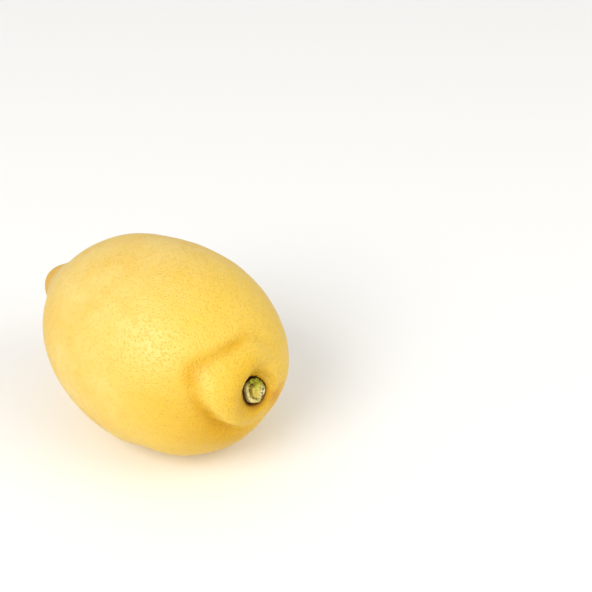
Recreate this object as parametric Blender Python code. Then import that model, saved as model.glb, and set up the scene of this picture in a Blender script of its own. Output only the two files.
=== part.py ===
"""A whole lemon lying on its side, with the woody button that is left where its stalk was cut.

Frame: +X runs along the fruit towards the stalk end, +Z is up, and the origin is on the surface that
the fruit rests on, below the middle of its box. All lengths are metres.

Places on the rind are given by "along", the distance from the widest place towards the stalk end, by
"out", the distance from the long axis, and by "turn", the angle in degrees round that axis: 0 is the
front (-Y), 90 the top (+Z), 180 the back (+Y) and 270 underneath.
"""

import math
from typing import NamedTuple

import bmesh
import bpy
from mathutils import Matrix, Vector

# The oval body, measured from its widest place.
BELLY_RADIUS = 0.0297
STALK_REACH = 0.0357
TIP_REACH = 0.0417
STALK_FULLNESS = 2.03
TIP_FULLNESS = 2.0

# The nipple at the blossom end. A groove sets it off from the body on one side, and a fillet
# leads up to it on another.
NIPPLE_HEIGHT = 0.0077
NIPPLE_RADIUS = 0.0071
NIPPLE_STEEPNESS = 3.8
NIPPLE_SHIFT = 0.0011
NIPPLE_SHIFT_TURN = 131.0
GROOVE_OUT = 0.0115
GROOVE_WIDTH = 0.0036
GROOVE_DEPTH = 0.0009
GROOVE_DEEPEST_TURN = -42.0
FILLET_OUT = 0.0093
FILLET_WIDTH = 0.0043
FILLET_HEIGHT = 0.0019
FILLET_TURN = 48.0

# The dish inside the collar at the stalk end. It leans upwards and lies a little off the long axis.
DISH_DEPTH = 0.0068
DISH_RADIUS = 0.0071
DISH_STEEPNESS = 2.5
DISH_LEAN = 27.5
DISH_LEAN_TURN = 70.0
DISH_LEAN_RADIUS = 0.0077
DISH_LEAN_SKEW = 0.0009
DISH_LEAN_STEEPNESS = 5.0
DISH_SHIFT = 0.0004
DISH_SHIFT_TURN = 175.0
DISH_SHIFT_RADIUS = 0.011
DISH_SHIFT_STEEPNESS = 3.0

# The socket in the middle of the dish, which the button sits in.
SOCKET_RADIUS = 0.0041
SOCKET_FLOOR_RADIUS = 0.0039
SOCKET_DEPTH = 0.0012

# The button: a shallow cup of dried sepals round the cut end of the stalk.
BUTTON_RADIUS = 0.0035
BUTTON_RISE = 0.0009
BUTTON_CUP_RADIUS = 0.0027
BUTTON_CUP_RISE = 0.0006
STUB_RADIUS = 0.0020
STUB_RISE = 0.0013
STUB_SHIFT = 0.0006
STUB_SHIFT_TURN = -152.0
EDGE_ROUNDING = 0.0003
SEPALS = 5
SEPAL_BULGE = 0.03
BUTTON_GAP = 0.0003
BUTTON_STEPS = 40

# How far the fruit is flattened underneath, where it rests.
RESTING_FLAT_DEPTH = 0.0008

# The grid of points on the rind: rings from the stalk end to the tip, closer together at both ends.
POINTS_AROUND = 72
RINGS = 60
SOCKET_RINGS = 3
END_CROWDING = 0.24


class CollarPlace(NamedTuple):
    """The collar's section at one turn: its edge, and the crease between it and the body."""

    turn: float
    edge_out: float
    edge_width: float
    height: float
    crease_out: float
    crease_width: float
    crease_depth: float


COLLAR = (
    CollarPlace(-150.0, 0.0080, 0.0018, 0.0006, 0.0100, 0.0020, 0.0003),
    CollarPlace(-120.0, 0.0083, 0.0018, 0.0010, 0.0103, 0.0020, 0.0005),
    CollarPlace(-90.0, 0.0079, 0.0022, 0.0010, 0.0100, 0.0022, 0.0004),
    CollarPlace(-60.0, 0.0084, 0.0018, 0.0018, 0.0108, 0.0024, 0.0008),
    CollarPlace(-35.0, 0.0098, 0.0012, 0.0023, 0.0120, 0.0026, 0.0015),
    CollarPlace(-15.0, 0.0119, 0.0009, 0.0024, 0.0141, 0.0024, 0.0018),
    CollarPlace(2.0, 0.0140, 0.0009, 0.0024, 0.0161, 0.0024, 0.0016),
    CollarPlace(15.0, 0.0163, 0.0011, 0.0024, 0.0183, 0.0022, 0.0013),
    CollarPlace(27.0, 0.0176, 0.0018, 0.0021, 0.0199, 0.0019, 0.0009),
    CollarPlace(42.0, 0.0174, 0.0026, 0.0019, 0.0208, 0.0019, 0.0004),
    CollarPlace(54.0, 0.0160, 0.0024, 0.0018, 0.0194, 0.0015, 0.0007),
    CollarPlace(66.0, 0.0150, 0.0019, 0.0018, 0.0180, 0.0012, 0.0010),
    CollarPlace(80.0, 0.0144, 0.0018, 0.0016, 0.0172, 0.0011, 0.0009),
    CollarPlace(95.0, 0.0136, 0.0020, 0.0012, 0.0169, 0.0013, 0.0006),
    CollarPlace(120.0, 0.0106, 0.0025, 0.0009, 0.0140, 0.0020, 0.0002),
    CollarPlace(155.0, 0.0086, 0.0022, 0.0007, 0.0112, 0.0020, 0.0001),
)

# The collar has this height, and evens out all round, towards the dish in its middle.
INNER_HEIGHT = 0.0016
INNER_RADIUS = 0.0065


class Fold(NamedTuple):
    """A small ridge at the stalk end, or with a negative height a notch."""

    out: float
    turn: float
    height: float
    width: float
    spread: float


FOLDS = (
    Fold(out=0.0072, turn=150.0, height=0.0013, width=0.0011, spread=38.0),
    Fold(out=0.0080, turn=-143.0, height=-0.0003, width=0.0036, spread=13.0),
    Fold(out=0.0082, turn=-112.0, height=0.0004, width=0.0018, spread=16.0),
)


class Swelling(NamedTuple):
    """A broad rise of the body, or with a negative height a hollow."""

    along: float
    turn: float
    height: float
    length: float
    spread: float


SWELLINGS = (
    Swelling(along=-0.024, turn=112.0, height=0.0006, length=0.010, spread=32.0),
    Swelling(along=0.029, turn=182.0, height=0.0005, length=0.006, spread=35.0),
    Swelling(along=0.031, turn=-115.0, height=-0.0005, length=0.005, spread=25.0),
    Swelling(along=0.009, turn=-51.0, height=-0.0011, length=0.005, spread=18.0),
)


def hump(distance, width, steepness=2.0):
    """A smooth hump: 1 in its middle, fading over the width."""
    return math.exp(-((abs(distance) / width) ** steepness))


def turned_from(turn, place):
    """The angle from a place round the fruit to this turn, between -180 and 180 degrees."""
    return (turn - place + 180.0) % 360.0 - 180.0


def collar_at(turn):
    """The collar's section at any turn, eased between the places on either side of it."""
    before = min(COLLAR, key=lambda place: (turn - place.turn) % 360.0)
    after = min(COLLAR, key=lambda place: (place.turn - turn) % 360.0)
    gap = (after.turn - before.turn) % 360.0
    share = ((turn - before.turn) % 360.0) / gap if gap else 0.0
    eased = share * share * (3.0 - 2.0 * share)
    return CollarPlace(*(a + (b - a) * eased for a, b in zip(before, after)))


def relief(along, out, turn):
    """How far the rind stands out from the plain oval at a place."""
    if along < 0.0:
        groove = 0.5 + 0.5 * math.cos(math.radians(turn - GROOVE_DEEPEST_TURN))
        height = -GROOVE_DEPTH * groove * hump(out - GROOVE_OUT, GROOVE_WIDTH)
        fillet = 0.5 + 0.5 * math.cos(math.radians(turn - FILLET_TURN))
        height += FILLET_HEIGHT * fillet**2 * hump(out - FILLET_OUT, FILLET_WIDTH)
    else:
        collar = collar_at(turn)
        inside_edge = (collar.edge_out - out) / collar.edge_width
        top = collar.height + (INNER_HEIGHT - collar.height) * hump(out, INNER_RADIUS)
        height = top * 0.5 * (1.0 + math.tanh(inside_edge))
        height -= collar.crease_depth * hump(out - collar.crease_out, collar.crease_width)
        height -= DISH_DEPTH * hump(out, DISH_RADIUS, DISH_STEEPNESS)
        lean = math.cos(math.radians(turn - DISH_LEAN_TURN))
        reach = DISH_LEAN_RADIUS + DISH_LEAN_SKEW * lean
        tilt = math.tan(math.radians(DISH_LEAN)) * lean
        height -= out * tilt * hump(out, reach, DISH_LEAN_STEEPNESS)
        for fold in FOLDS:
            around = hump(turned_from(turn, fold.turn), fold.spread)
            height += fold.height * around * hump(out - fold.out, fold.width)
    for place in SWELLINGS:
        around = hump(turned_from(turn, place.turn), place.spread)
        height += place.height * around * hump(along - place.along, place.length)
    return height


def rind_point(polar, turn):
    """The point of the rind at a polar angle (0 at the stalk end, pi at the tip) and a turn."""
    towards_stalk = math.cos(polar) > 0.0
    reach, fullness = (STALK_REACH, STALK_FULLNESS) if towards_stalk else (TIP_REACH, TIP_FULLNESS)
    cosine = max(abs(math.cos(polar)), 1e-9)
    along = math.copysign(reach * cosine ** (2.0 / fullness), math.cos(polar))
    out = BELLY_RADIUS * math.sin(polar)
    facing = Vector((
        math.copysign(BELLY_RADIUS * cosine, math.cos(polar)),
        reach * 2.0 / fullness * cosine ** (2.0 / fullness - 1.0) * math.sin(polar),
    )).normalized()
    height = relief(along, out, turn)
    point = around_axis(along + facing.x * height, out + facing.y * height, turn)
    if towards_stalk:
        return point + dish_offset() * hump(out, DISH_SHIFT_RADIUS, DISH_SHIFT_STEEPNESS)
    shift = NIPPLE_SHIFT * math.cos(math.radians(turn - NIPPLE_SHIFT_TURN))
    point.x -= NIPPLE_HEIGHT * hump(out - shift, NIPPLE_RADIUS, NIPPLE_STEEPNESS)
    return point


def dish_offset():
    """How far the dish and its socket lie off the fruit's axis."""
    return around_axis(0.0, DISH_SHIFT, DISH_SHIFT_TURN)


def around_axis(along, out, turn):
    """The point at a distance along and out from the fruit's axis, at a turn round it."""
    angle = math.radians(turn)
    return Vector((along, -out * math.cos(angle), out * math.sin(angle)))


def socket_frame():
    """Where the socket's rim lies: its middle, with local +Z pointing out of the fruit."""
    rim = [rind_point(math.asin(SOCKET_RADIUS / BELLY_RADIUS), turn) for turn in range(0, 360, 30)]
    middle = Vector((sum(point.x for point in rim) / len(rim), 0.0, 0.0)) + dish_offset()
    lean = Matrix.Rotation(math.radians(DISH_LEAN), 4, tilt_axis())
    upright = Matrix.Rotation(math.radians(90.0), 4, "Y")
    return Matrix.Translation(middle) @ lean @ upright


def tilt_axis():
    """The axis that the dish leans about: square to the fruit's axis and to the way it leans."""
    return Vector((1.0, 0.0, 0.0)).cross(around_axis(0.0, 1.0, DISH_LEAN_TURN))


def socket_point(socket, out, depth, turn):
    """A point in the socket, at the same turn as the rind's points beyond it."""
    spoke = around_axis(0.0, out, turn)
    lean = Matrix.Rotation(math.radians(DISH_LEAN), 3, tilt_axis())
    outwards = lean @ Vector((1.0, 0.0, 0.0))
    return socket.translation + lean @ spoke - outwards * depth


def fruit_point(ring, turn, socket):
    """The point of the fruit on a ring of the grid, counted from the stalk end."""
    if ring <= SOCKET_RINGS:
        return socket_point(socket, SOCKET_FLOOR_RADIUS * ring / SOCKET_RINGS, SOCKET_DEPTH, turn)
    if ring == SOCKET_RINGS + 1:
        return socket_point(socket, SOCKET_RADIUS, 0.0, turn)
    rim_polar = math.asin(SOCKET_RADIUS / BELLY_RADIUS)
    share = (ring - SOCKET_RINGS - 1) / (RINGS - SOCKET_RINGS - 1)
    share -= END_CROWDING / math.pi * math.sin(2.0 * math.pi * share)
    return rind_point(rim_polar + (math.pi - rim_polar) * share, turn)


def make_fruit(socket):
    """The whole fruit as one closed mesh: a ball's grid, its points moved onto the rind."""
    mesh = bmesh.new()
    bmesh.ops.create_uvsphere(mesh, u_segments=POINTS_AROUND, v_segments=RINGS, radius=1.0)
    for vertex in mesh.verts:
        ring = round(math.acos(max(-1.0, min(1.0, vertex.co.z))) / math.pi * RINGS)
        turn = math.degrees(math.atan2(-vertex.co.y, vertex.co.x))
        vertex.co = fruit_point(ring, round(turn, 3), socket)
    rest_height = min(vertex.co.z for vertex in mesh.verts) + RESTING_FLAT_DEPTH
    for vertex in mesh.verts:
        vertex.co.z = max(vertex.co.z, rest_height)
    return mesh


def make_button():
    """The button standing on z = 0, turned from its outline and then drawn out into sepals."""
    floor = BUTTON_GAP - SOCKET_DEPTH
    outline = (
        (0.0, STUB_RISE),
        (STUB_RADIUS - EDGE_ROUNDING, STUB_RISE),
        (STUB_RADIUS, STUB_RISE - EDGE_ROUNDING),
        (STUB_RADIUS, BUTTON_CUP_RISE),
        (BUTTON_CUP_RADIUS, BUTTON_CUP_RISE),
        (BUTTON_CUP_RADIUS + EDGE_ROUNDING, BUTTON_RISE),
        (BUTTON_RADIUS - EDGE_ROUNDING, BUTTON_RISE),
        (BUTTON_RADIUS, BUTTON_RISE - EDGE_ROUNDING),
        (BUTTON_RADIUS, 0.0),
        (BUTTON_RADIUS - EDGE_ROUNDING, floor),
        (0.0, floor),
    )
    mesh = bmesh.new()
    corners = [mesh.verts.new((out, 0.0, height)) for out, height in outline]
    edges = [mesh.edges.new(pair) for pair in zip(corners, corners[1:])]
    bmesh.ops.spin(
        mesh,
        geom=corners + edges,
        cent=(0.0, 0.0, 0.0),
        axis=(0.0, 0.0, 1.0),
        angle=math.tau,
        steps=BUTTON_STEPS,
        use_merge=True,
    )
    bmesh.ops.remove_doubles(mesh, verts=mesh.verts, dist=1e-5)
    for vertex in mesh.verts:
        out = math.hypot(vertex.co.x, vertex.co.y)
        if out < BUTTON_CUP_RADIUS - EDGE_ROUNDING and vertex.co.z > 0.0:
            angle = math.radians(STUB_SHIFT_TURN)
            vertex.co -= STUB_SHIFT * Vector((math.sin(angle), math.cos(angle), 0.0))
        elif out > BUTTON_CUP_RADIUS - EDGE_ROUNDING:
            bulge = 1.0 + SEPAL_BULGE * math.cos(SEPALS * math.atan2(vertex.co.y, vertex.co.x))
            vertex.co.x *= bulge
            vertex.co.y *= bulge
    return mesh


def finish(name, colour, roughness):
    """A plain opaque material."""
    material = bpy.data.materials.new(name)
    material.use_nodes = True
    shader = next(node for node in material.node_tree.nodes if node.type == "BSDF_PRINCIPLED")
    shader.inputs["Base Color"].default_value = (*colour, 1.0)
    shader.inputs["Roughness"].default_value = roughness
    shader.inputs["Metallic"].default_value = 0.0
    return material


def add_part(name, mesh, material, collection):
    """Puts a finished mesh in the scene as one smooth-shaded object."""
    data = bpy.data.meshes.new(name)
    mesh.to_mesh(data)
    mesh.free()
    data.materials.append(material)
    data.polygons.foreach_set("use_smooth", [True] * len(data.polygons))
    part = bpy.data.objects.new(name, data)
    collection.objects.link(part)
    return part


def clear_scene():
    """Removes every object, so that only the fruit's parts are left."""
    for old in list(bpy.data.objects):
        bpy.data.objects.remove(old, do_unlink=True)


def box_middle(mesh):
    """The point below the middle of a mesh's box, level with its lowest point."""
    lows = [min(vertex.co[axis] for vertex in mesh.verts) for axis in range(3)]
    highs = [max(vertex.co[axis] for vertex in mesh.verts) for axis in range(3)]
    return Vector(((lows[0] + highs[0]) / 2.0, (lows[1] + highs[1]) / 2.0, lows[2]))


def main():
    """Builds the fruit and its button, both in the fruit's frame."""
    clear_scene()
    lemon = bpy.data.collections.new("lemon")
    bpy.context.scene.collection.children.link(lemon)

    socket = socket_frame()
    fruit = make_fruit(socket)
    resting_place = -box_middle(fruit)
    peel = finish("lemon_peel", colour=(0.86, 0.60, 0.13), roughness=0.45)
    calyx = finish("dried_calyx", colour=(0.27, 0.24, 0.08), roughness=0.85)
    fruit_object = add_part("fruit", fruit, peel, lemon)
    fruit_object.location = resting_place
    button_object = add_part("stem_button", make_button(), calyx, lemon)
    button_object.parent = fruit_object
    button_object.matrix_local = socket


main()
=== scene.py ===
"""A whole lemon for a close look: pored waxy peel, a folded collar, and the dry button of its cut stalk.

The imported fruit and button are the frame. Two finer pieces take their places: the rind, worked out on a
dense grid from the fruit's own measures, and the button, with its sepal cup and broken stalk end.

Places on the rind are given by "along" (from the widest place towards the stalk end), "out" (from the
long axis) and "turn" (degrees round that axis: 0 front, 90 top, 180 back, 270 underneath).
"""

import logging
import math
from dataclasses import dataclass
from typing import NamedTuple

import bmesh
import bpy
import numpy as np
from mathutils import Matrix, Vector, noise


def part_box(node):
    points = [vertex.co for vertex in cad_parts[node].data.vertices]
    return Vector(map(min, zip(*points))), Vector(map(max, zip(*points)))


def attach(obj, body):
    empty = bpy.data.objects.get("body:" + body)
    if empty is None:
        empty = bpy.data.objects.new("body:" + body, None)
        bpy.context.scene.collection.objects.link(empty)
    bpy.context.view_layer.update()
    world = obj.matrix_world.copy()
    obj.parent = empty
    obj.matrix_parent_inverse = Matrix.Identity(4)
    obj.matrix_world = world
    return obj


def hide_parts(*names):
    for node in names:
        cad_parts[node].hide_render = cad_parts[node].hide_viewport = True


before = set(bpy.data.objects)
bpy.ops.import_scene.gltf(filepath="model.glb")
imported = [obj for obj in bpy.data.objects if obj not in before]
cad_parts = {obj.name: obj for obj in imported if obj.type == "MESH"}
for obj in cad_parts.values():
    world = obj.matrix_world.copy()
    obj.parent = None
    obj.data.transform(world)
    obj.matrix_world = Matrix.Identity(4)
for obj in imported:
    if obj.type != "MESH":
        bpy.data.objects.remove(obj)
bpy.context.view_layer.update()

LOG = logging.getLogger("lemon")
MM = 0.001
Array = np.ndarray


def linear(code: str) -> tuple[float, float, float, float]:
    """Turns an sRGB hex colour into the linear colour that a shader takes.

    Args:
        code: Six hex digits, such as "F2D06D".

    Returns:
        Linear red, green and blue, and an alpha of 1.
    """
    shares = [int(code[place : place + 2], 16) / 255.0 for place in (0, 2, 4)]
    red, green, blue = (s / 12.92 if s <= 0.04045 else ((s + 0.055) / 1.055) ** 2.4 for s in shares)
    return red, green, blue, 1.0


def hump(distance: Array, width: Array | float, steepness: float = 2.0) -> Array:
    """A smooth hump: 1 in its middle, fading over the width.

    Args:
        distance: Distances from the hump's middle.
        width: Distance at which the hump has fallen to about a third.
        steepness: How square the hump is; 2 is a bell.

    Returns:
        The hump's height at each distance.
    """
    return np.exp(-((np.abs(distance) / width) ** steepness))


def smooth_step(value: Array, low: float, high: float) -> Array:
    """Rises smoothly from 0 at low to 1 at high.

    Args:
        value: Where to take it.
        low: Where the rise starts.
        high: Where the rise ends; it may lie below low, for a fall.

    Returns:
        The share risen at each value.
    """
    share = np.clip((value - low) / (high - low), 0.0, 1.0)
    return share * share * (3.0 - 2.0 * share)


def turned_from(turn: Array, place: float) -> Array:
    """The angle from a place round the fruit to each turn, between -180 and 180 degrees."""
    return (turn - place + 180.0) % 360.0 - 180.0


def around_axis(along: Array, out: Array, turn: Array) -> Array:
    """The points at distances along and out from the fruit's axis, at turns round it."""
    angle = np.radians(turn)
    return np.stack(np.broadcast_arrays(along, -out * np.cos(angle), out * np.sin(angle)), axis=-1)


def round_curve(turn: Array, stations: Array, values: Array) -> Array:
    """A smooth closed curve through values given at turns round the fruit.

    Args:
        turn: Where to take the curve, in degrees.
        stations: The turns at which the values are given, rising, within one round.
        values: The value at each station.

    Returns:
        The curve's value at each turn.
    """
    places = np.concatenate([stations[-2:] - 360.0, stations, stations[:2] + 360.0])
    heights = np.concatenate([values[-2:], values, values[:2]])
    slopes = np.gradient(heights, places)
    wrapped = (turn - stations[0]) % 360.0 + stations[0]
    left = np.clip(np.searchsorted(places, wrapped, side="right") - 1, 0, len(places) - 2)
    gap = places[left + 1] - places[left]
    share = (wrapped - places[left]) / gap
    square, cube = share**2, share**3
    return (
        (2 * cube - 3 * square + 1) * heights[left]
        + (cube - 2 * square + share) * gap * slopes[left]
        + (3 * square - 2 * cube) * heights[left + 1]
        + (cube - square) * gap * slopes[left + 1]
    )


def cloud(points: Array, size: float, seed: float) -> Array:
    """Soft, even noise over a set of points.

    Args:
        points: Where to take it, in metres.
        size: How far apart its humps are, in metres.
        seed: Moves the pattern, so that two clouds differ.

    Returns:
        The noise at each point, from about -1 to 1.
    """
    shift = Vector((seed, seed * 0.7, -seed * 1.3))
    return np.array([noise.noise(Vector(point) / size + shift) for point in points])


class CollarStation(NamedTuple):
    """The collar's section at one turn, in millimetres: its edge, and the crease that bounds it."""

    turn: float
    edge_out: float
    edge_width: float
    height: float
    crease_out: float
    crease_width: float
    crease_depth: float


class Swelling(NamedTuple):
    """A broad rise of the body, or with a negative height a hollow, in millimetres."""

    along: float
    turn: float
    height: float
    length: float
    spread: float


class Fold(NamedTuple):
    """A small ridge at the stalk end, or with a negative height a notch, in millimetres and degrees."""

    out: float
    turn: float
    height: float
    width: float
    spread: float


class TintReach(NamedTuple):
    """How far out a tint reaches at one turn, in degrees and millimetres."""

    turn: float
    out: float


class CreaseShadeLine(NamedTuple):
    """A line of painted golden shade beside the collar's crease, in millimetres and degrees; its share is its
    strength.
    """

    turn: float
    spread: float
    beyond: float
    width: float
    share: float


class RimWave(NamedTuple):
    """One of the waves that keep the socket's rim from a true circle; its share is its strength."""

    count: float
    phase: float
    share: float


# The collar as it goes round the stalk. It is high and lipped in front, and low at the back.
COLLAR = (
    CollarStation(-150.0, 8.0, 1.8, 0.6, 10.0, 2.0, 0.3),
    CollarStation(-120.0, 8.3, 1.8, 1.0, 10.3, 2.0, 0.5),
    CollarStation(-90.0, 7.9, 2.2, 1.0, 10.0, 2.2, 0.4),
    CollarStation(-60.0, 8.4, 1.8, 1.8, 10.8, 2.4, 0.8),
    CollarStation(-35.0, 9.8, 1.2, 2.3, 12.0, 2.6, 1.5),
    CollarStation(-15.0, 11.9, 0.9, 2.4, 14.1, 2.4, 1.8),
    CollarStation(2.0, 14.0, 0.9, 2.4, 16.1, 2.4, 1.6),
    CollarStation(15.0, 16.3, 1.1, 2.4, 18.3, 2.2, 1.3),
    CollarStation(27.0, 17.6, 1.8, 2.1, 19.9, 1.9, 0.9),
    CollarStation(42.0, 17.4, 2.6, 1.9, 20.8, 1.9, 0.4),
    CollarStation(54.0, 16.0, 2.4, 1.8, 19.4, 1.5, 0.7),
    CollarStation(66.0, 15.0, 1.9, 1.8, 18.0, 1.2, 1.0),
    CollarStation(80.0, 14.4, 1.8, 1.6, 17.2, 1.1, 0.9),
    CollarStation(95.0, 13.6, 2.0, 1.2, 16.9, 1.3, 0.6),
    CollarStation(120.0, 10.6, 2.5, 0.9, 14.0, 2.0, 0.2),
    CollarStation(155.0, 8.6, 2.2, 0.7, 11.2, 2.0, 0.1),
)

FOLDS = (
    Fold(out=7.2, turn=150.0, height=1.3, width=1.1, spread=38.0),
    Fold(out=8.0, turn=-143.0, height=-0.3, width=3.6, spread=13.0),
    Fold(out=8.2, turn=-112.0, height=0.4, width=1.8, spread=16.0),
)

SWELLINGS = (
    Swelling(along=-24.0, turn=112.0, height=0.6, length=10.0, spread=32.0),
    Swelling(along=29.0, turn=182.0, height=0.5, length=6.0, spread=35.0),
    Swelling(along=31.0, turn=-115.0, height=-0.5, length=5.0, spread=25.0),
    Swelling(along=9.0, turn=-51.0, height=-1.1, length=5.0, spread=18.0),
)

# How far out the dish's deeper colour reaches at each turn.
DISH_TINT = (
    TintReach(-163.0, 5.8),
    TintReach(-126.0, 6.4),
    TintReach(-88.0, 6.8),
    TintReach(-25.0, 8.4),
    TintReach(28.0, 11.4),
    TintReach(46.0, 12.0),
    TintReach(64.0, 13.2),
    TintReach(79.0, 12.2),
    TintReach(101.0, 8.8),
    TintReach(128.0, 6.2),
    TintReach(163.0, 5.4),
)

# Lines of painted golden shade beside the collar's crease, where the skin folds over in front of the collar
# and above it.
CREASE_SHADE_LINES = (
    CreaseShadeLine(turn=38.0, spread=20.0, beyond=0.3, width=2.0, share=0.85),
    CreaseShadeLine(turn=77.0, spread=19.0, beyond=0.0, width=1.1, share=0.8),
)


@dataclass(frozen=True)
class RindShape:
    """The rind's form as measures: an oval body, its nipple, and the collar and dish at the stalk."""

    belly_radius: float = 29.7 * MM
    stalk_reach: float = 35.7 * MM
    tip_reach: float = 41.7 * MM
    stalk_fullness: float = 2.03
    tip_fullness: float = 2.0
    nipple_height: float = 7.7 * MM
    nipple_radius: float = 7.1 * MM
    nipple_steepness: float = 3.8
    nipple_shift: float = 1.1 * MM
    nipple_shift_turn: float = 131.0
    groove_out: float = 11.5 * MM
    groove_width: float = 3.6 * MM
    groove_depth: float = 0.9 * MM
    groove_deepest_turn: float = -42.0
    inner_height: float = 1.6 * MM
    inner_radius: float = 6.5 * MM
    fillet_out: float = 9.3 * MM
    fillet_width: float = 4.3 * MM
    fillet_height: float = 1.9 * MM
    fillet_turn: float = 48.0
    dish_depth: float = 6.8 * MM
    dish_radius: float = 7.1 * MM
    dish_steepness: float = 2.5
    dish_lean: float = 27.5
    dish_lean_turn: float = 70.0
    dish_lean_radius: float = 7.7 * MM
    dish_lean_skew: float = 0.9 * MM
    dish_lean_steepness: float = 5.0
    dish_shift: float = 0.4 * MM
    dish_shift_turn: float = 175.0
    dish_shift_radius: float = 11.0 * MM
    dish_shift_steepness: float = 3.0
    socket_radius: float = 4.1 * MM
    socket_floor_radius: float = 3.9 * MM
    socket_depth: float = 1.2 * MM
    resting_flat: float = 0.8 * MM

    def collar(self, turn: Array) -> dict[str, Array]:
        """The collar's measures at each turn, in metres, by the names in CollarStation."""
        table = np.array(COLLAR)
        return {
            name: round_curve(turn, table[:, 0], table[:, column]) * MM
            for column, name in enumerate(CollarStation._fields)
            if column
        }

    def relief(self, along: Array, out: Array, turn: Array) -> Array:
        """How far the rind stands out from the plain oval.

        Args:
            along: Distances along the axis from the widest place.
            out: Distances from the axis.
            turn: Degrees round the axis.

        Returns:
            The height over the oval at each place, in metres.
        """
        groove = 0.5 + 0.5 * np.cos(np.radians(turn - self.groove_deepest_turn))
        at_tip = -self.groove_depth * groove * hump(out - self.groove_out, self.groove_width)
        fillet = 0.5 + 0.5 * np.cos(np.radians(turn - self.fillet_turn))
        at_tip += self.fillet_height * fillet**2 * hump(out - self.fillet_out, self.fillet_width)
        collar = self.collar(turn)
        inside = hump(out, self.inner_radius)
        top = collar["height"] * (1.0 - inside) + self.inner_height * inside
        at_stalk = top * 0.5 * (1.0 + np.tanh((collar["edge_out"] - out) / collar["edge_width"]))
        at_stalk -= collar["crease_depth"] * hump(out - collar["crease_out"], collar["crease_width"])
        at_stalk -= self.dish_depth * hump(out, self.dish_radius, self.dish_steepness)
        lean = np.cos(np.radians(turn - self.dish_lean_turn))
        reach = self.dish_lean_radius + self.dish_lean_skew * lean
        tilt = math.tan(math.radians(self.dish_lean)) * lean
        at_stalk -= out * tilt * hump(out, reach, self.dish_lean_steepness)
        for fold in FOLDS:
            around = hump(turned_from(turn, fold.turn), fold.spread)
            at_stalk += fold.height * MM * around * hump(out / MM - fold.out, fold.width)
        height = np.where(along < 0.0, at_tip, at_stalk)
        for place in SWELLINGS:
            around = hump(turned_from(turn, place.turn), place.spread)
            height += place.height * MM * around * hump(along / MM - place.along, place.length)
        return height

    def rind_points(self, polar: Array, turn: Array) -> Array:
        """The rind's surface, with its axis along X and its widest place at X = 0.

        Args:
            polar: Angles from the stalk pole (0) to the tip (pi).
            turn: Degrees round the axis, one for each angle.

        Returns:
            One point for each pair, in metres.
        """
        stalkward = np.cos(polar) > 0.0
        reach = np.where(stalkward, self.stalk_reach, self.tip_reach)
        fullness = np.where(stalkward, self.stalk_fullness, self.tip_fullness)
        sign = np.where(stalkward, 1.0, -1.0)
        cosine = np.maximum(np.abs(np.cos(polar)), 1e-9)
        along = sign * reach * cosine ** (2.0 / fullness)
        out = self.belly_radius * np.sin(polar)
        facing_along = sign * self.belly_radius * cosine
        facing_out = reach * 2.0 / fullness * cosine ** (2.0 / fullness - 1.0) * np.sin(polar)
        length = np.hypot(facing_along, facing_out)
        height = self.relief(along, out, turn)
        shift = self.nipple_shift * np.cos(np.radians(turn - self.nipple_shift_turn))
        nipple = self.nipple_height * hump(out - shift, self.nipple_radius, self.nipple_steepness)
        moved = along + facing_along / length * height - np.where(stalkward, 0.0, nipple)
        points = around_axis(moved, out + facing_out / length * height, turn)
        sideways = np.where(stalkward, hump(out, self.dish_shift_radius, self.dish_shift_steepness), 0.0)
        return points + sideways[:, None] * self.dish_offset()

    def dish_offset(self) -> Array:
        """How far the dish and its socket lie off the fruit's axis."""
        return around_axis(0.0, self.dish_shift, self.dish_shift_turn)

    def rim_polar(self) -> float:
        """The polar angle at which the socket's rim lies."""
        return math.asin(self.socket_radius / self.belly_radius)

    def lean(self) -> Matrix:
        """The dish's lean, as a turn of the fruit's axis."""
        sideways = Vector((1.0, 0.0, 0.0)).cross(Vector(around_axis(0.0, 1.0, self.dish_lean_turn)))
        return Matrix.Rotation(math.radians(self.dish_lean), 3, sideways)

    def socket_middle(self) -> Vector:
        """The middle of the socket's rim."""
        turns = np.arange(0.0, 360.0, 30.0)
        rim = self.rind_points(np.full_like(turns, self.rim_polar()), turns)
        return Vector((float(rim[:, 0].mean()), 0.0, 0.0))

    def socket_points(self, out: Array, depth: Array, turn: Array) -> Array:
        """Points in the socket that the button sits in.

        Args:
            out: Distances from the socket's middle.
            depth: Depths below its rim.
            turn: Degrees round the fruit's axis.

        Returns:
            One point for each place, in metres.
        """
        lean = np.array(self.lean())
        spokes = around_axis(np.zeros_like(out), out, turn) @ lean.T
        middle = np.array(self.socket_middle()) + self.dish_offset()
        return middle + spokes - depth[:, None] * lean[:, 0]


def add_node(
    tree: bpy.types.NodeTree,
    kind: str,
    settings: dict[str, object] | None = None,
    links: dict[str, bpy.types.NodeSocket] | None = None,
) -> bpy.types.Node:
    """Adds a shader node with its settings and links.

    Args:
        tree: The material's node tree.
        kind: The node's type, without "ShaderNode".
        settings: Values by the name of the node's own property, or else of its input.
        links: Output sockets to join, by the name of the input that takes each.

    Returns:
        The new node.
    """
    node = tree.nodes.new("ShaderNode" + kind)
    for name, value in (settings or {}).items():
        if hasattr(node, name):
            setattr(node, name, value)
        else:
            open_inputs(node, name)[0].default_value = value
    for name, output in (links or {}).items():
        tree.links.new(output, open_inputs(node, name)[0])
    return node


def open_inputs(node: bpy.types.Node, name: str) -> list[bpy.types.NodeSocket]:
    """The node's inputs of that name that are in use; "name:2" asks for the second of them."""
    plain, _, count = name.partition(":")
    found = [socket for socket in node.inputs if socket.name == plain and socket.enabled]
    return found[int(count or 1) - 1 :]


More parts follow.
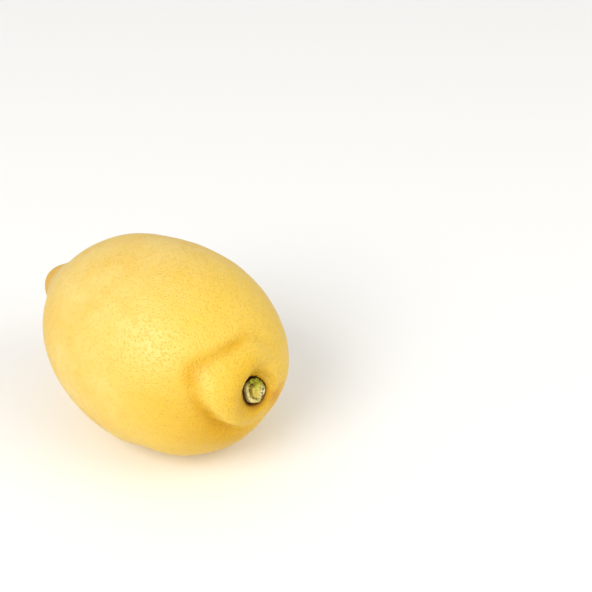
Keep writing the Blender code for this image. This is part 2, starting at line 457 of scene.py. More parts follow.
def new_material(name: str) -> tuple[bpy.types.Material, bpy.types.NodeTree, bpy.types.Node]:
    """A fresh material, its node tree and its Principled shader."""
    material = bpy.data.materials.new(name)
    material.use_nodes = True
    shader = next(node for node in material.node_tree.nodes if node.type == "BSDF_PRINCIPLED")
    return material, material.node_tree, shader


def mark(tree: bpy.types.NodeTree, name: str) -> bpy.types.NodeSocket:
    """The value of a mark that the mesh carries on each of its points."""
    return add_node(tree, "Attribute", {"attribute_name": name}).outputs["Fac"]


def blend(
    tree: bpy.types.NodeTree,
    share: bpy.types.NodeSocket,
    under: bpy.types.NodeSocket | tuple[float, ...],
    over: bpy.types.NodeSocket | tuple[float, ...],
) -> bpy.types.NodeSocket:
    """Lays one colour over another.

    Args:
        tree: The material's node tree.
        share: How much of the upper colour shows.
        under: The lower colour, fixed or from a node.
        over: The upper colour, fixed or from a node.

    Returns:
        The mixed colour.
    """
    settings: dict[str, object] = {"data_type": "RGBA"}
    links = {"Factor": share}
    for name, colour in (("A", under), ("B", over)):
        if isinstance(colour, bpy.types.NodeSocket):
            links[name] = colour
        else:
            settings[name] = colour
    node = add_node(tree, "Mix", settings, links)
    return next(socket for socket in node.outputs if socket.enabled)


class Remap(NamedTuple):
    """Turns a pattern into a strength: as the pattern goes from low to high, that goes from start to end."""

    low: float
    high: float
    start: float
    end: float

    def settings(self) -> dict[str, object]:
        """The same four numbers by the names that a map-range node gives them."""
        return {"From Min": self.low, "From Max": self.high, "To Min": self.start, "To Max": self.end}


@dataclass(frozen=True)
class CitrusPeel:
    """Lemon peel: a thin waxed skin over oil glands.

    It grew, so nothing on it repeats. Each gland is a shallow pit under the wax, a little deeper in
    colour than the skin between, and the wax gives a broad, soft gloss. The skin lets a little light
    through. The warm gold in its creases and groove and round its socket is painted shade, and the
    dark ring in the socket is painted shadow.
    """

    skin: str = "F4D478"
    skin_deep: str = "EBBC3A"
    # deeper gold towards the stalk end: partly the fruit's own tone, partly painted shade away from the broad
    # highlight
    gold_and_shade: str = "F0C640"
    gland: str = "D3A62E"
    # painted shade: the warm gold in the collar's crease, under its lip and along lines beside it
    fold: str = "D8A200"
    dish: str = "DEAC00"
    # painted shade: darker towards the crevice round the button
    ring: str = "B87E04"
    # painted shade: the orange in the small, shallow groove in the collar behind the button
    groove_shade: str = "DE9A00"
    tip: str = "E2AA0E"
    # painted shadow: the dark ring in the gap between the peel and the button
    gap_shadow: str = "562C0A"
    gland_spacing: float = 0.78 * MM
    gland_depth: float = 0.06 * MM
    gland_scatter: float = 0.9
    gland_pit: Remap = Remap(0.08, 0.5, 1.0, 0.0)
    gland_boldness: Remap = Remap(0.1, 1.0, 0.06, 0.38)
    mottle_size: float = 11.0 * MM
    mottle_share: Remap = Remap(0.35, 0.7, 0.05, 0.55)
    freckle_size: float = 2.6 * MM
    freckle_share: Remap = Remap(0.45, 0.8, 0.0, 0.4)
    wax_grain: float = 0.22 * MM
    wax_roughness: Remap = Remap(0.3, 0.7, 0.35, 0.47)
    pit_over_grain: float = 3.0
    bump_strength: float = 0.7
    ior: float = 1.42
    specular_level: float = 0.4
    glow: float = 0.12
    glow_colour: tuple[float, float, float] = (1.0, 0.6, 0.15)
    light_depth: float = 1.6 * MM

    def build(self) -> bpy.types.Material:
        """Makes the material.

        Returns:
            The finished peel.
        """
        material, tree, shader = new_material("citrus_peel")
        place = add_node(tree, "TexCoord").outputs["Object"]
        mottle = add_node(
            tree, "TexNoise", {"Scale": 1.0 / self.mottle_size, "Detail": 3.0}, {"Vector": place}
        )
        freckle = add_node(
            tree, "TexNoise", {"Scale": 1.0 / self.freckle_size, "Detail": 4.0}, {"Vector": place}
        )
        glands = add_node(
            tree,
            "TexVoronoi",
            {"Scale": 1.0 / self.gland_spacing, "Randomness": self.gland_scatter},
            {"Vector": place},
        )
        pit = add_node(
            tree,
            "MapRange",
            {"interpolation_type": "SMOOTHSTEP", **self.gland_pit.settings()},
            {"Value": glands.outputs["Distance"]},
        ).outputs["Result"]
        boldness = add_node(
            tree, "MapRange", self.gland_boldness.settings(), {"Value": glands.outputs["Color"]}
        ).outputs["Result"]
        dots = add_node(
            tree, "Math", {"operation": "MULTIPLY"}, {"Value": pit, "Value:2": boldness}
        ).outputs[0]
        patches = add_node(
            tree, "MapRange", self.mottle_share.settings(), {"Value": mottle.outputs[0]}
        ).outputs["Result"]
        specks = add_node(
            tree, "MapRange", self.freckle_share.settings(), {"Value": freckle.outputs[0]}
        ).outputs["Result"]
        colour = blend(tree, patches, linear(self.skin), linear(self.skin_deep))
        colour = blend(tree, specks, colour, linear(self.skin_deep))
        # Of these tints, the crease's gold, the groove's orange and the ring round the socket are painted
        # shade; the stalk end's deeper gold is partly painted shade.
        for name, tint in (
            ("gold_and_shade", self.gold_and_shade),
            ("tip", self.tip),
            ("fold", self.fold),
            ("dish", self.dish),
            ("ring", self.ring),
            ("groove_shade", self.groove_shade),
        ):
            colour = blend(tree, mark(tree, name), colour, linear(tint))
        colour = blend(tree, dots, colour, linear(self.gland))
        # The dark ring in the socket is painted shadow in the gap round the button.
        colour = blend(tree, mark(tree, "gap_shadow"), colour, linear(self.gap_shadow))
        tree.links.new(colour, shader.inputs["Base Color"])

        gloss = add_node(
            tree, "MapRange", self.wax_roughness.settings(), {"Value": freckle.outputs[0]}
        ).outputs["Result"]
        tree.links.new(gloss, shader.inputs["Roughness"])
        grain = add_node(
            tree, "TexNoise", {"Scale": 1.0 / self.wax_grain, "Detail": 2.0}, {"Vector": place}
        ).outputs[0]
        relief = add_node(
            tree,
            "Math",
            {"operation": "MULTIPLY_ADD", "Value:2": -self.pit_over_grain},
            {"Value": pit, "Value:3": grain},
        ).outputs[0]
        bump = add_node(
            tree, "Bump", {"Strength": self.bump_strength, "Distance": self.gland_depth}, {"Height": relief}
        )
        tree.links.new(bump.outputs["Normal"], shader.inputs["Normal"])
        shader.inputs["IOR"].default_value = self.ior
        shader.inputs["Specular IOR Level"].default_value = self.specular_level
        shader.inputs["Subsurface Weight"].default_value = self.glow
        shader.inputs["Subsurface Radius"].default_value = self.glow_colour
        shader.inputs["Subsurface Scale"].default_value = self.light_depth
        return material


@dataclass(frozen=True)
class DriedCalyx:
    """The dried sepals and stalk end: woody plant tissue, dulled as it dried.

    It shrank and split along its fibres, so it is matt, streaked from olive to straw, and pale and
    crumbly where the stalk broke. Its pits are painted dark as shade, and its whole side, down in the
    socket's gap, as shadow.
    """

    sepal: str = "F2E292"
    trough: str = "A08C24"
    stalk: str = "E4CE62"
    green: str = "B2B820"
    fibre: str = "F6E2BE"
    # painted shade in the pits, and painted shadow on the button's side in the gap
    hole_shade: str = "3B2203"
    streak_size: float = 0.8 * MM
    streak_green: Remap = Remap(0.38, 0.6, 0.1, 1.0)
    streak_dull: Remap = Remap(0.45, 0.7, 0.0, 0.7)
    crumb_size: float = 0.28 * MM
    crumb_pale: Remap = Remap(0.42, 0.58, 0.0, 1.0)
    crumb_depth: float = 0.12 * MM
    bump_strength: float = 0.7
    roughness: float = 0.8

    def build(self) -> bpy.types.Material:
        """Makes the material.

        Returns:
            The finished calyx.
        """
        material, tree, shader = new_material("dried_calyx_and_stalk")
        place = add_node(tree, "TexCoord").outputs["Object"]
        streak = add_node(
            tree, "TexNoise", {"Scale": 1.0 / self.streak_size, "Detail": 3.0}, {"Vector": place}
        ).outputs[0]
        crumb = add_node(
            tree, "TexNoise", {"Scale": 1.0 / self.crumb_size, "Detail": 4.0}, {"Vector": place}
        ).outputs[0]
        streaked = add_node(
            tree, "MapRange", self.streak_green.settings(), {"Value": streak}
        ).outputs["Result"]
        colour = blend(tree, mark(tree, "sepal"), linear(self.trough), linear(self.sepal))
        colour = blend(tree, mark(tree, "stalk"), colour, linear(self.stalk))
        dulled = add_node(
            tree, "MapRange", self.streak_dull.settings(), {"Value": streak}
        ).outputs["Result"]
        colour = blend(tree, dulled, colour, linear(self.trough))
        greened = add_node(
            tree, "Math", {"operation": "MULTIPLY"}, {"Value": mark(tree, "green"), "Value:2": streaked}
        ).outputs[0]
        colour = blend(tree, greened, colour, linear(self.green))
        broken = add_node(
            tree, "MapRange", self.crumb_pale.settings(), {"Value": crumb}
        ).outputs["Result"]
        fibres = add_node(
            tree, "Math", {"operation": "MULTIPLY"}, {"Value": mark(tree, "fibre"), "Value:2": broken}
        ).outputs[0]
        colour = blend(tree, fibres, colour, linear(self.fibre))
        # The pits take painted shade, and the button's side in the socket's gap takes painted shadow.
        colour = blend(tree, mark(tree, "hole"), colour, linear(self.hole_shade))
        tree.links.new(colour, shader.inputs["Base Color"])
        bump = add_node(
            tree, "Bump", {"Strength": self.bump_strength, "Distance": self.crumb_depth}, {"Height": crumb}
        )
        tree.links.new(bump.outputs["Normal"], shader.inputs["Normal"])
        shader.inputs["Roughness"].default_value = self.roughness
        return material


@dataclass(frozen=True)
class PaperSweep:
    """Matt white paper under the fruit: bright, with no gloss of its own."""

    white: str = "F8F7F4"
    fibre_size: float = 3.0 * MM
    fibre_depth: float = 0.02 * MM
    bump_strength: float = 0.1
    roughness: float = 0.9

    def build(self) -> bpy.types.Material:
        """Makes the material.

        Returns:
            The finished paper.
        """
        material, tree, shader = new_material("matt_paper")
        place = add_node(tree, "TexCoord").outputs["Object"]
        fibres = add_node(
            tree, "TexNoise", {"Scale": 1.0 / self.fibre_size, "Detail": 2.0}, {"Vector": place}
        ).outputs[0]
        bump = add_node(
            tree, "Bump", {"Strength": self.bump_strength, "Distance": self.fibre_depth}, {"Height": fibres}
        )
        tree.links.new(bump.outputs["Normal"], shader.inputs["Normal"])
        shader.inputs["Base Color"].default_value = linear(self.white)
        shader.inputs["Roughness"].default_value = self.roughness
        return material


def read_points(mesh: bpy.types.Mesh, what: str) -> Array:
    """The mesh's "co" or "normal" values, one row for each vertex."""
    values = np.zeros(len(mesh.vertices) * 3)
    mesh.vertices.foreach_get(what, values)
    return values.reshape(-1, 3)


def write_points(mesh: bpy.types.Mesh, points: Array) -> None:
    """Moves the mesh's vertices to these points."""
    mesh.vertices.foreach_set("co", points.ravel())
    mesh.update()


def write_mark(mesh: bpy.types.Mesh, name: str, values: Array) -> None:
    """Stores a mark from 0 to 1 on each vertex, for a material to read."""
    stored = mesh.attributes.new(name, "FLOAT", "POINT")
    stored.data.foreach_set("value", np.clip(values, 0.0, 1.0))


def ball_grid(name: str, around: int, rings: int) -> tuple[bpy.types.Mesh, Array, Array]:
    """A ball's closed grid, to be moved into another round shape.

    Args:
        name: The mesh's name.
        around: How many points each ring has.
        rings: How many steps there are from pole to pole.

    Returns:
        The mesh, and for each vertex its ring's number and its turn in degrees.
    """
    grid = bmesh.new()
    bmesh.ops.create_uvsphere(grid, u_segments=around, v_segments=rings, radius=1.0)
    mesh = bpy.data.meshes.new(name)
    grid.to_mesh(mesh)
    grid.free()
    points = read_points(mesh, "co")
    ring = np.round(np.arccos(np.clip(points[:, 2], -1.0, 1.0)) / math.pi * rings)
    turn = np.degrees(np.arctan2(-points[:, 1], points[:, 0]))
    return mesh, ring, turn


def finished_piece(mesh: bpy.types.Mesh, material: bpy.types.Material) -> bpy.types.Object:
    """Puts a mesh in the scene as a smooth-shaded object in its material."""
    mesh.materials.append(material)
    mesh.polygons.foreach_set("use_smooth", [True] * len(mesh.polygons))
    piece = bpy.data.objects.new(mesh.name, mesh)
    bpy.context.scene.collection.objects.link(piece)
    return piece


@dataclass(frozen=True)
class PeelMarks:
    """Where the peel's colours change, and where shade is painted: marks on the rind's points, which the
    peel's finish reads.
    """

    shape: RindShape
    stalk_end: float = 10.0 * MM
    under_turn: float = -35.0
    under_spread: float = 60.0
    # The crease's painted shade, and the painted shade on the skirt under the collar:
    crease_share: float = 0.6
    crease_inner: float = 1.3
    crease_outer: float = 1.7
    crease_outer_under: float = 1.6
    skirt_share: float = 0.95
    skirt_from: float = -1.5
    skirt_full: float = 1.0
    skirt_reach: float = 15.0
    # Deeper gold towards the stalk end, partly painted shade:
    gold_and_shade_from: float = -4.0 * MM
    gold_and_shade_full: float = 24.0 * MM
    gold_and_shade_share: float = 0.7
    dish_spread: float = 1.12
    dish_steepness: float = 4.0
    # The groove's painted shade:
    notch_turn: float = -143.0
    notch_spread: float = 19.0
    notch_out: float = 8.8 * MM
    notch_width: float = 4.6 * MM
    notch_steepness: float = 3.0
    notch_share: float = 0.85
    tip_reach: float = 10.5 * MM
    tip_steepness: float = 4.0
    # The ring's painted shade reaches furthest towards this turn, and the socket's painted shadow widens
    # there.
    brown_turn: float = 35.0
    brown_spread: float = 60.0
    brown_reach: float = 1.4 * MM
    brown_more: float = 2.6 * MM
    brown_wide: float = 0.9
    # The painted shadow in the gap round the button, strongest towards the upper front:
    gap_shadow_turn: float = 50.0
    gap_shadow_spread: float = 95.0
    gap_shadow_steepness: float = 4.0
    gap_shadow_thin: float = 0.15
    gap_shadow_edge: float = 0.2 * MM
    gap_shadow_reach: float = 0.9 * MM
    gap_shadow_least: float = 0.1 * MM
    gap_shadow_patch: float = 0.8 * MM
    gap_shadow_wobble: float = 0.5
    gap_shadow_seed: float = 2.2
    gap_shadow_strength_spread: float = 115.0
    gap_shadow_strength_steepness: float = 6.0
    gap_shadow_least_strength: float = 0.4

    def painted_crease_shade(self, out: Array, turn: Array) -> Array:
        """The painted golden shade in the crease, on the skirt under the collar and along the lines beside
        it.

        Args:
            out: Distances from the fruit's axis.
            turn: Degrees round it.

        Returns:
            The strength at each place.
        """
        collar = self.shape.collar(turn)
        beyond = (out - collar["crease_out"]) / MM
        under = hump(turned_from(turn, self.under_turn), self.under_spread)
        width = np.where(beyond < 0.0, self.crease_inner, self.crease_outer + self.crease_outer_under * under)
        crease = self.crease_share * collar["crease_depth"] / MM * hump(beyond, width)
        skirt = smooth_step(beyond, self.skirt_from, self.skirt_full)
        skirt *= self.skirt_share * under * smooth_step(beyond, self.skirt_reach, 0.0)
        shade_lines = sum(
            line.share
            * hump(turned_from(turn, line.turn), line.spread)
            * hump(beyond - line.beyond, line.width)
            for line in CREASE_SHADE_LINES
        )
        return np.maximum(np.maximum(crease, skirt), shade_lines)

    def gap_shadow(self, points: Array, out: Array, turn: Array) -> Array:
        """The painted shadow in the gap round the button: a dark band with a ragged edge on the socket's wall
        and rim.

        Args:
            points: The rind's points.
            out: Their distances from the fruit's axis.
            turn: Their turns round it.

        Returns:
            The strength at each place.
        """
        from_dark = turned_from(turn, self.gap_shadow_turn)
        dark = hump(from_dark, self.gap_shadow_spread, self.gap_shadow_steepness)
        dark = self.gap_shadow_thin + (1.0 - self.gap_shadow_thin) * dark
        wide = self.brown_wide * hump(turned_from(turn, self.brown_turn), self.brown_spread)
        shadow_wobble = self.gap_shadow_wobble * cloud(points, self.gap_shadow_patch, self.gap_shadow_seed)
        shadow_reach = (dark + wide + shadow_wobble) * self.gap_shadow_reach
        shadow_strength = hump(from_dark, self.gap_shadow_strength_spread, self.gap_shadow_strength_steepness)
        shadow_strength = self.gap_shadow_least_strength + (1.0 - self.gap_shadow_least_strength) * shadow_strength
        rim = self.shape.socket_radius
        return shadow_strength * smooth_step(out - np.maximum(shadow_reach, self.gap_shadow_least), rim, rim - self.gap_shadow_edge)

    def write(self, mesh: bpy.types.Mesh, points: Array, along: Array, out: Array, turn: Array) -> None:
        """Writes every mark on the mesh.

        Args:
            mesh: The rind's mesh.
            points: Its points.
            along: Their distances along the fruit's axis.
            out: Their distances from it.
            turn: Their turns round it.
        """
        at_stalk = smooth_step(along, 0.0, self.stalk_end)
        reach = round_curve(turn, *np.array(DISH_TINT).T) * MM
        # The groove behind the button is shallow, and its orange is painted shade.
        groove_shade = hump(turned_from(turn, self.notch_turn), self.notch_spread)
        groove_shade *= self.notch_share * hump(out - self.notch_out, self.notch_width, self.notch_steepness)
        brown = hump(turned_from(turn, self.brown_turn), self.brown_spread)
        beyond_rim = out - self.shape.socket_radius
        # The ring is painted shade, darker towards the crevice round the button.
        marks = {
            "fold": self.painted_crease_shade(out, turn),
            "dish": hump(out / reach, self.dish_spread, self.dish_steepness),
            "groove_shade": groove_shade,
            "ring": smooth_step(beyond_rim, self.brown_reach + self.brown_more * brown, 0.0),
            # painted shadow in the gap round the button
            "gap_shadow": self.gap_shadow(points, out, turn),
        }
        for name, values in marks.items():
            write_mark(mesh, name, at_stalk * values)
        # Deeper gold towards the stalk end: partly its own tone, partly painted shade.
        write_mark(mesh, "gold_and_shade", self.gold_and_shade_share * smooth_step(along, self.gold_and_shade_from, self.gold_and_shade_full))
        write_mark(mesh, "tip", (1.0 - at_stalk) * hump(out, self.tip_reach, self.tip_steepness))


@dataclass(frozen=True)
class Rind:
    """The fruit's whole surface, finely enough gridded to carry its pits and small folds."""

    shape: RindShape
    around: int = 440
    rings: int = 224
    floor_rings: int = 5
    wall_rings: int = 2
    end_crowding: float = 0.05
    rim_wobble: float = 0.018
    rim_waves: tuple[RimWave, ...] = (RimWave(3.0, 0.6, 1.0), RimWave(5.0, 2.1, 0.7))
    rim_calm: float = 2.0 * MM
    wrinkle: float = 0.14 * MM
    wrinkle_turn: float = 6.5
    wrinkle_length: float = 7.0 * MM
    wrinkle_seed: float = 4.6
    wrinkle_along: tuple[float, float] = (20.0 * MM, 30.0 * MM)
    wrinkle_out: tuple[float, float] = (25.0 * MM, 17.0 * MM)
    unevenness: float = 0.10 * MM
    unevenness_size: float = 9.0 * MM
    unevenness_seed: float = 3.1
    ripple: float = 0.045 * MM
    ripple_size: float = 3.2 * MM
    ripple_seed: float = 8.4
    pit_depth: float = 0.05 * MM
    pit_spacing: float = 1.3 * MM
    pit_edge: float = 0.45
    pit_floor: float = 0.05

    def grid_points(self, ring: Array, turn: Array) -> tuple[Array, Array]:
        """Where the grid's points lie before the fine relief.

        Args:
            ring: The number of each point's ring, from the socket's middle.
            turn: Each point's turn in degrees.

        Returns:
            The points, and each point's distance out in the plain oval.
        """
        shape = self.shape
        rim_ring = self.floor_rings + self.wall_rings
        rim = shape.rim_polar()
        share = np.clip((ring - rim_ring) / (self.rings - rim_ring), 0.0, 1.0)
        share -= self.end_crowding / math.pi * np.sin(2.0 * math.pi * share)
        polar = rim + (math.pi - rim) * share
        points = shape.rind_points(polar, turn)
        out = shape.belly_radius * np.sin(polar)
        down = np.clip((rim_ring - ring) / self.wall_rings, 0.0, 1.0)
        floor_out = shape.socket_floor_radius * np.clip(ring / self.floor_rings, 0.0, 1.0)
        socket_out = np.where(
            ring < self.floor_rings,
            floor_out,
            shape.socket_radius + (shape.socket_floor_radius - shape.socket_radius) * down,
        )
        angle = np.radians(turn)
        waves = sum(wave.share * np.cos(wave.count * angle + wave.phase) for wave in self.rim_waves)
        uneven = 1.0 + self.rim_wobble * waves
        socket = shape.socket_points(socket_out * uneven, shape.socket_depth * down, turn)
        in_socket = (ring <= rim_ring)[:, None]
        return np.where(in_socket, socket, points), np.where(ring <= rim_ring, socket_out, out)

    def fine_relief(self, points: Array, out: Array, turn: Array) -> Array:
        """The small unevenness of the rind: broad swells, ripples and gland pits.

        Args:
            points: Points of the rind.
            out: Their distances out in the plain oval.
            turn: Their turns in degrees.

        Returns:
            How far each point moves outwards, in metres.
        """
        swell = cloud(points, self.unevenness_size, self.unevenness_seed) * self.unevenness
        ripple = cloud(points, self.ripple_size, self.ripple_seed) * self.ripple
        nearest = np.array([noise.voronoi(Vector(point) / self.pit_spacing)[0][0] for point in points])
        pits = -self.pit_depth * smooth_step(nearest, self.pit_edge, self.pit_floor)
        rays = np.stack(
            [turn / self.wrinkle_turn, out / self.wrinkle_length, np.sign(points[:, 0])], axis=-1
        )
        near = smooth_step(points[:, 0], *self.wrinkle_along) * smooth_step(out, *self.wrinkle_out)
        wrinkles = cloud(rays, 1.0, self.wrinkle_seed) * self.wrinkle * near
        clear = smooth_step(out, self.shape.socket_radius, self.shape.socket_radius + self.rim_calm)
        height = (swell + ripple + pits + wrinkles) * clear
        return np.where(out <= self.shape.socket_radius, 0.0, height)

    def build(self, finish: CitrusPeel) -> tuple[bpy.types.Object, Vector]:
        """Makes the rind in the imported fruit's place.

        Args:
            finish: The peel's finish.

        Returns:
            The piece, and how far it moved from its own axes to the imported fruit's place.
        """
        shape = self.shape
        mesh, ring, turn = ball_grid("rind", self.around, self.rings)
        points, out = self.grid_points(ring, turn)
        low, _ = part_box("fruit")
        rest = points[:, 2].min() + shape.resting_flat
        place = Vector((low.x - points[:, 0].min(), 0.0, low.z - rest))
        along = points[:, 0]
        write_points(mesh, points)
        points = points + read_points(mesh, "normal") * self.fine_relief(points, out, turn)[:, None]
        points = points + np.array(place)
        points[:, 2] = np.maximum(points[:, 2], low.z)
        write_points(mesh, points)

        PeelMarks(shape).write(mesh, points, along, out, turn)
        piece = finished_piece(mesh, finish.build())
        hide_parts("fruit")
        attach(piece, "root")
        return piece, place


@dataclass(frozen=True)
class StalkButton:
    """The dry button in the socket: a ring of sepals round the broken end of the stalk."""

    shape: RindShape
    around: int = 120
    top_rings: int = 44
    side_rings: int = 6
    bottom_rings: int = 6
    radius: float = 3.45 * MM
    offset: float = 0.38 * MM
    offset_turn: float = -140.0
    sepals: int = 5
    sepal_bulge: float = 0.03
    sepal_phase: float = 140.0
    taper: float = 0.04
    floor: float = -0.9 * MM
    edge_height: float = 0.1 * MM
    edge_from: float = 0.93
    trough_height: float = 0.3 * MM
    trough_lumps: float = 0.1 * MM
    roll_out: float = 0.8
    roll_width: float = 0.22
    roll_height: float = 0.6 * MM
    roll_turn: float = -15.0
    roll_spread: float = 82.0
    roll_steepness: float = 4.0
    roll_least: float = 0.08
    roll_wander: float = 0.03
    roll_squareness: float = 2.4
    stalk_radius: float = 2.25 * MM
    stalk_height: float = 1.2 * MM
    stalk_shift: float = 0.75 * MM
    stalk_shift_turn: float = -152.0
    stalk_edge: float = 0.35 * MM
    stalk_lumps: float = 0.35 * MM
    stalk_crumbs: float = 0.2 * MM
    torn_from: float = -0.1
    torn_full: float = 0.4
    rough_size: float = 0.7 * MM
    rough_seed: float = 1.7
    crumb_size: float = 0.42 * MM
    crumb_seed: float = 5.2
    torn_gaps: float = 0.8
    crumb_gaps: float = 0.8
    gap_full: float = 0.3
    hole_shade_strength: float = 0.9
    pit_depth: float = 0.35 * MM
    green_turn: float = 135.0
    green_full: float = 0.6

    def top_heights(self, share: Array, turn: Array) -> tuple[Array, dict[str, Array]]:
        """The button's upper surface.

        Args:
            share: Distance out, as a share of the button's radius.
            turn: Degrees round the fruit's axis.

        Returns:
            The heights over the socket's rim, and the marks that the finish reads.
        """
        angle = np.radians(turn)
        across = share * self.radius * np.cos(angle)
        upward = share * self.radius * np.sin(angle)
        shift = math.radians(self.stalk_shift_turn)
        from_stalk = np.hypot(
            across - self.stalk_shift * math.cos(shift), upward - self.stalk_shift * math.sin(shift)
        )
        flat = np.stack([across, upward, np.zeros_like(across)], axis=-1)
        rough = cloud(flat, self.rough_size, self.rough_seed)
        crumbs = cloud(flat, self.crumb_size, self.crumb_seed)
        broken = smooth_step(
            (across * math.cos(shift) + upward * math.sin(shift) - self.stalk_shift) / self.stalk_radius,
            self.torn_from,
            self.torn_full,
        )
        rolled = hump(turned_from(turn, self.roll_turn), self.roll_spread, self.roll_steepness)
        rolled = self.roll_least + (1.0 - self.roll_least) * rolled
        from_roll = share - self.roll_out - self.roll_wander * rough
        roll = rolled * hump(from_roll, self.roll_width, self.roll_squareness)
        edge = smooth_step(share, 1.0, self.edge_from)
        ragged = from_stalk + self.stalk_edge * rough
        stalk = smooth_step(ragged, self.stalk_radius, self.stalk_radius - self.stalk_edge)
        top = self.stalk_height + self.stalk_lumps * rough + self.stalk_crumbs * crumbs * broken
        height = self.trough_height + roll * self.roll_height + self.trough_lumps * rough
        height = height * (1.0 - stalk) + top * stalk
        height = self.edge_height + (height - self.edge_height) * edge
        gaps = np.maximum((1.0 - stalk) * (1.0 - roll), self.torn_gaps * stalk * broken)
        # Pits in the sepals and the broken stalk: sunk, and darkened as painted shade.
        hole = gaps * smooth_step(rough + crumbs * self.crumb_gaps, 0.0, self.gap_full)
        height -= hole * self.pit_depth
        greenward = np.cos(np.radians(turn - self.green_turn))
        marks = {
            "sepal": np.where(share > self.roll_out, rolled, roll),
            "stalk": stalk,
            "fibre": stalk * broken,
            "green": (1.0 - roll) * smooth_step(greenward, 0.0, self.green_full),
            "hole": hole * self.hole_shade_strength,
        }
        return height, marks

    def build(self, finish: DriedCalyx, place: Vector) -> bpy.types.Object:
        """Makes the button in its socket.

        Args:
            finish: The dried calyx's finish.
            place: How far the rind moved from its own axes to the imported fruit's place.

        Returns:
            The piece.
        """
        rings = self.top_rings + self.side_rings + self.bottom_rings
        mesh, ring, turn = ball_grid("stalk_button", self.around, rings)
        bulge = 1.0 + self.sepal_bulge * np.cos(np.radians(turn * self.sepals + self.sepal_phase))
        top_share = np.clip(ring / self.top_rings, 0.0, 1.0)
        down = np.clip((ring - self.top_rings) / self.side_rings, 0.0, 1.0)
        inward = np.clip((ring - self.top_rings - self.side_rings) / self.bottom_rings, 0.0, 1.0)
        height, marks = self.top_heights(top_share, turn)
        height = height + (self.floor - height) * down
        share = np.where(ring <= self.top_rings, top_share, 1.0 - inward)
        out = share * self.radius * bulge * (1.0 - self.taper * down)
        points = self.shape.socket_points(out, -height, turn) + np.array(place)
        points += around_axis(0.0, self.offset, self.offset_turn)
        write_points(mesh, points)
        # The button's whole side, down in the gap round it, takes the pits' dark colour as painted shadow.
        for name, values in marks.items():
            write_mark(mesh, name, values * (1.0 - down) + (down if name == "hole" else 0.0))
        piece = finished_piece(mesh, finish.build())
        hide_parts("stem_button")
        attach(piece, "root")
        return piece


def from_centre(centre: Vector, azimuth: float, elevation: float, distance: float) -> Vector:
    """The point that far from the centre, at an azimuth and elevation in degrees.

    Args:
        centre: Where it is measured from.
        azimuth: 0 is the front (-Y), 90 the stalk end (+X).
        elevation: Above the horizon.
        distance: In metres.

    Returns:
        The point.
    """
    turn, rise = math.radians(azimuth), math.radians(elevation)
    away = Vector((math.sin(turn) * math.cos(rise), -math.cos(turn) * math.cos(rise), math.sin(rise)))
    return centre + away * distance


@dataclass(frozen=True)
class SoftBox:
    """A large square lamp behind a diffuser, aimed at the fruit.

    One that doesn't light shows only as gloss on the wax, and one that isn't mirrored only lights.
    """

    name: str
    azimuth: float
    elevation: float
    distance: float
    side: float
    watts: float
    lights: bool = True
    mirrored: bool = True

    def build(self, centre: Vector) -> bpy.types.Object:
        """Hangs the lamp.

        Args:
            centre: What it is aimed at.

        Returns:
            The lamp.
        """
        light = bpy.data.lights.new(self.name, "AREA")
        light.shape = "SQUARE"
        light.size = self.side
        light.energy = self.watts
        lamp = bpy.data.objects.new(self.name, light)
        lamp.location = from_centre(centre, self.azimuth, self.elevation, self.distance)
        lamp.rotation_euler = (centre - lamp.location).to_track_quat("-Z", "Y").to_euler()
        lamp.visible_diffuse = self.lights
        lamp.visible_glossy = self.mirrored
        bpy.context.scene.collection.objects.link(lamp)
        return lamp


@dataclass(frozen=True)
class Studio:
    """The white table and the soft light around it."""

    table_radius: float = 4.0
    table_sides: int = 96
    surround: float = 0.62
    boxes: tuple[SoftBox, ...] = (
        SoftBox("key", azimuth=6.0, elevation=41.0, distance=1.2, side=0.7, watts=8.2),
        SoftBox("fill", azimuth=105.0, elevation=40.0, distance=1.2, side=0.8, watts=4.1, mirrored=False),
        SoftBox("glint", azimuth=4.0, elevation=40.0, distance=1.2, side=1.2, watts=24.0, lights=False),
    )

    def build(self, centre: Vector, paper: PaperSweep) -> bpy.types.Object:
        """Lays the table and lights it.

        Args:
            centre: The fruit's middle.
            paper: The table's finish.

        Returns:
            The table.
        """
        disc = bmesh.new()
        bmesh.ops.create_circle(disc, cap_ends=True, segments=self.table_sides, radius=self.table_radius)
        mesh = bpy.data.meshes.new("table")
        disc.to_mesh(mesh)
        disc.free()
        table = finished_piece(mesh, paper.build())
        # Matt paper lights the fruit, but the wax is too soft to mirror it.
        table.visible_glossy = False
        for box in self.boxes:
            box.build(centre)
        world = bpy.data.worlds.new("studio")
        world.use_nodes = True
        sky = next(node for node in world.node_tree.nodes if node.type == "BACKGROUND")
        sky.inputs["Color"].default_value = (1.0, 1.0, 1.0, 1.0)
        sky.inputs["Strength"].default_value = self.surround
        bpy.context.scene.world = world
        bpy.context.scene.view_settings.view_transform = "Standard"
        return table


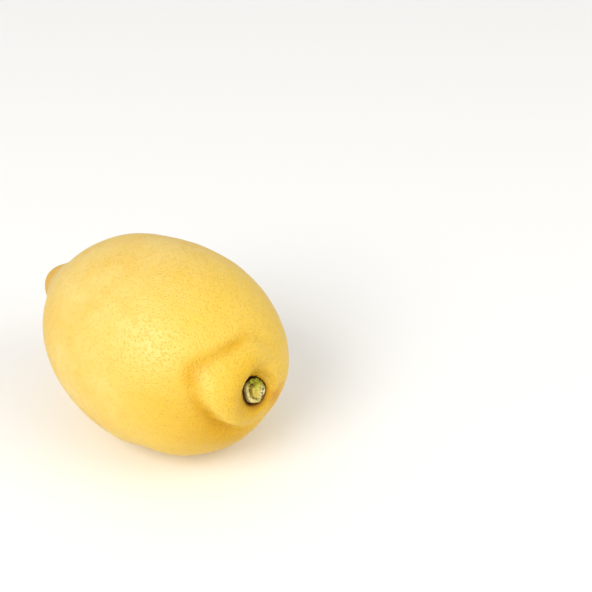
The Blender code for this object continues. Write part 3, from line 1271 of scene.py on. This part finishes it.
@dataclass(frozen=True)
class ViewCamera:
    """The camera: where it looks from, and where the fruit lies in its frame."""

    azimuth: float = 47.01
    elevation: float = 36.94
    distance: float = 0.3993
    lens: float = 85.0
    sensor: float = 36.0
    target_shift: Vector = Vector((5.2 * MM, 0.0, -0.33 * MM))
    left_of_middle: float = 0.2221
    below_middle: float = 0.0793
    aiming_rounds: int = 12
    nearest: float = 0.01
    farthest: float = 50.0

    def build(self, centre: Vector) -> bpy.types.Object:
        """Sets up the camera, level, turned so that the fruit lies off its frame's middle.

        Args:
            centre: The fruit's middle.

        Returns:
            The camera.
        """
        data = bpy.data.cameras.new("view")
        data.lens = self.lens
        data.sensor_width = self.sensor
        data.clip_start, data.clip_end = self.nearest, self.farthest
        camera = bpy.data.objects.new("view", data)
        target = centre + self.target_shift
        place = from_centre(target, self.azimuth, self.elevation, self.distance)
        width_over_focus = self.sensor / self.lens
        yaw, pitch = math.radians(self.azimuth), math.radians(self.elevation)
        for _ in range(self.aiming_rounds):
            back = from_centre(Vector(), math.degrees(yaw), math.degrees(pitch), 1.0)
            right = Vector((math.cos(yaw), math.sin(yaw), 0.0))
            up = back.cross(right)
            sight = target - place
            depth = -sight.dot(back)
            yaw -= sight.dot(right) / depth + self.left_of_middle * width_over_focus
            pitch -= sight.dot(up) / depth + self.below_middle * width_over_focus
        camera.matrix_world = Matrix.Translation(place) @ Matrix((right, up, back)).transposed().to_4x4()
        bpy.context.scene.collection.objects.link(camera)
        bpy.context.scene.camera = camera
        return camera


def main() -> None:
    """Builds the rind, the button, the studio and the camera, in that order."""
    logging.basicConfig(level=logging.INFO, format="%(name)s: %(message)s")
    shape = RindShape()
    rind, place = Rind(shape).build(CitrusPeel())
    LOG.info("%s has %d faces", rind.name, len(rind.data.polygons))
    button = StalkButton(shape).build(DriedCalyx(), place)
    LOG.info("%s has %d faces", button.name, len(button.data.polygons))
    low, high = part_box("fruit")
    centre = (low + high) / 2.0
    table = Studio().build(centre, PaperSweep())
    LOG.info("%s is laid", table.name)
    camera = ViewCamera().build(centre)
    LOG.info("%s looks from %s", camera.name, camera.matrix_world.translation)


if __name__ == "__main__":
    main()
